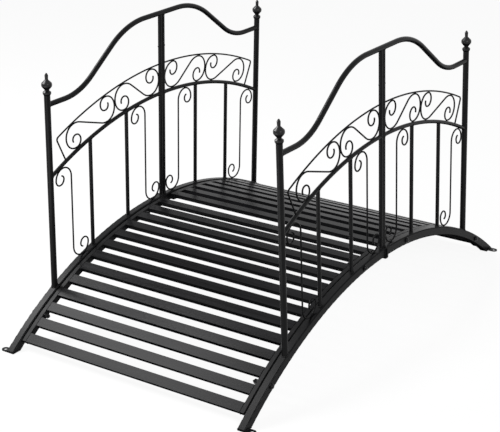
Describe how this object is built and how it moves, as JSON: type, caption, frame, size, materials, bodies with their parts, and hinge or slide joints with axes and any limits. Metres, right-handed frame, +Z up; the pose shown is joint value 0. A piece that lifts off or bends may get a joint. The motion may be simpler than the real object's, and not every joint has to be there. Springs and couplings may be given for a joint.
{
  "type": "arched garden bridge",
  "caption": "Arched steel garden footbridge with a slatted deck and scrollwork railings with S-bent handrails and ball finials.",
  "frame": {"origin": "on the ground under the middle of the bridge", "axes": "+X along the span to the far end, +Y across to the left railing, +Z up"},
  "size_m": [1.52, 0.919, 0.8947],
  "materials": {
    "coated_tube": "satin black powder coat on steel tube",
    "coated_wire": "satin black powder coat on steel wire",
    "coated_casting": "satin black powder coat on cast finials",
    "coated_deck": "satin black powder coat on the steel deck"
  },
  "bodies": {
    "root": {"left_near_beam": "coated_tube", "left_near_foot_plate": "coated_tube", "left_near_end_post": "coated_tube", "left_near_finial": "coated_casting", "left_near_handrail": "coated_tube", "left_near_centre_post": "coated_tube", "left_near_arched_rail": "coated_tube", "left_near_balusters": "coated_tube", "left_near_scroll_frame": "coated_wire", "left_near_s_scrolls": "coated_wire", "left_near_j_scrolls": "coated_wire", "left_near_deck_bar": "coated_deck", "left_far_beam": "coated_tube", "left_far_foot_plate": "coated_tube", "left_far_end_post": "coated_tube", "left_far_finial": "coated_casting", "left_far_handrail": "coated_tube", "left_far_centre_post": "coated_tube", "left_far_arched_rail": "coated_tube", "left_far_balusters": "coated_tube", "left_far_scroll_frame": "coated_wire", "left_far_s_scrolls": "coated_wire", "left_far_j_scrolls": "coated_wire", "left_far_deck_bar": "coated_deck", "right_near_beam": "coated_tube", "right_near_foot_plate": "coated_tube", "right_near_end_post": "coated_tube", "right_near_finial": "coated_casting", "right_near_handrail": "coated_tube", "right_near_centre_post": "coated_tube", "right_near_arched_rail": "coated_tube", "right_near_balusters": "coated_tube", "right_near_scroll_frame": "coated_wire", "right_near_s_scrolls": "coated_wire", "right_near_j_scrolls": "coated_wire", "right_near_deck_bar": "coated_deck", "right_far_beam": "coated_tube", "right_far_foot_plate": "coated_tube", "right_far_end_post": "coated_tube", "right_far_finial": "coated_casting", "right_far_handrail": "coated_tube", "right_far_centre_post": "coated_tube", "right_far_arched_rail": "coated_tube", "right_far_balusters": "coated_tube", "right_far_scroll_frame": "coated_wire", "right_far_s_scrolls": "coated_wire", "right_far_j_scrolls": "coated_wire", "right_far_deck_bar": "coated_deck", "near_deck_slats": "coated_deck", "far_deck_slats": "coated_deck"}
  },
  "joints": []
}
